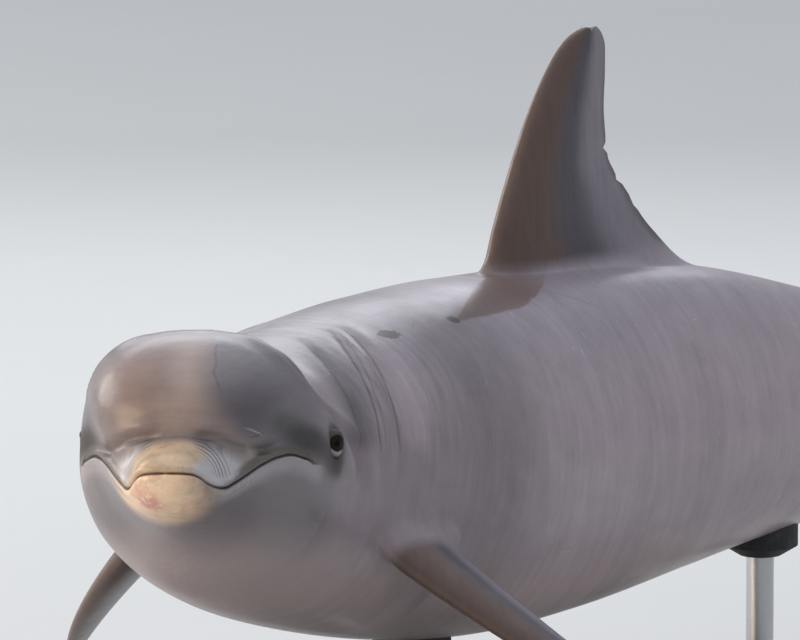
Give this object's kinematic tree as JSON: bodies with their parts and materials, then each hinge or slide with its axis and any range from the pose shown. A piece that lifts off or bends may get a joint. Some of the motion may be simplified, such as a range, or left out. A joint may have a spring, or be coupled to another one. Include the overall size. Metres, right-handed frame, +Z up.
{
  "type": "bottlenose dolphin model",
  "caption": "Life-size still model of a swimming bottlenose dolphin with its head turned to its left, held by rods on a flat display base.",
  "frame": {"origin": "middle of the underside of the stand's base, on the floor", "axes": "+Z up; the dolphin's head is toward -X and its tail toward +X; its left side is toward -Y"},
  "size_m": [2.5919, 0.9027, 1.0029],
  "materials": {
    "skin_back": "wet glossy mauve-grey skin of the back and head",
    "skin_flank": "wet glossy mauve-grey skin of the flanks, paler below",
    "skin_jaw": "wet cream to pinkish skin of the lower jaw",
    "skin_fins": "wet dark brownish-grey skin of the fins",
    "eye_dark": "polished, nearly black eye",
    "stand_board": "satin dark grey painted board",
    "stand_steel": "brushed steel",
    "stand_rubber": "matte black rubber"
  },
  "bodies": {
    "root": {"head": "skin_back", "neck": "skin_back", "tail_stock": "skin_back", "trunk_front": "skin_flank", "trunk_rear": "skin_flank", "lower_jaw": "skin_jaw", "dorsal_fin": "skin_fins", "flipper_left": "skin_fins", "flipper_right": "skin_fins", "fluke_left": "skin_fins", "fluke_right": "skin_fins", "eye_left": "eye_dark", "eye_right": "eye_dark", "stand_base": "stand_board", "stand_flange_front": "stand_steel", "stand_flange_rear": "stand_steel", "stand_rod_front": "stand_steel", "stand_rod_rear": "stand_steel", "stand_pad_front": "stand_rubber", "stand_pad_rear": "stand_rubber"}
  },
  "joints": []
}
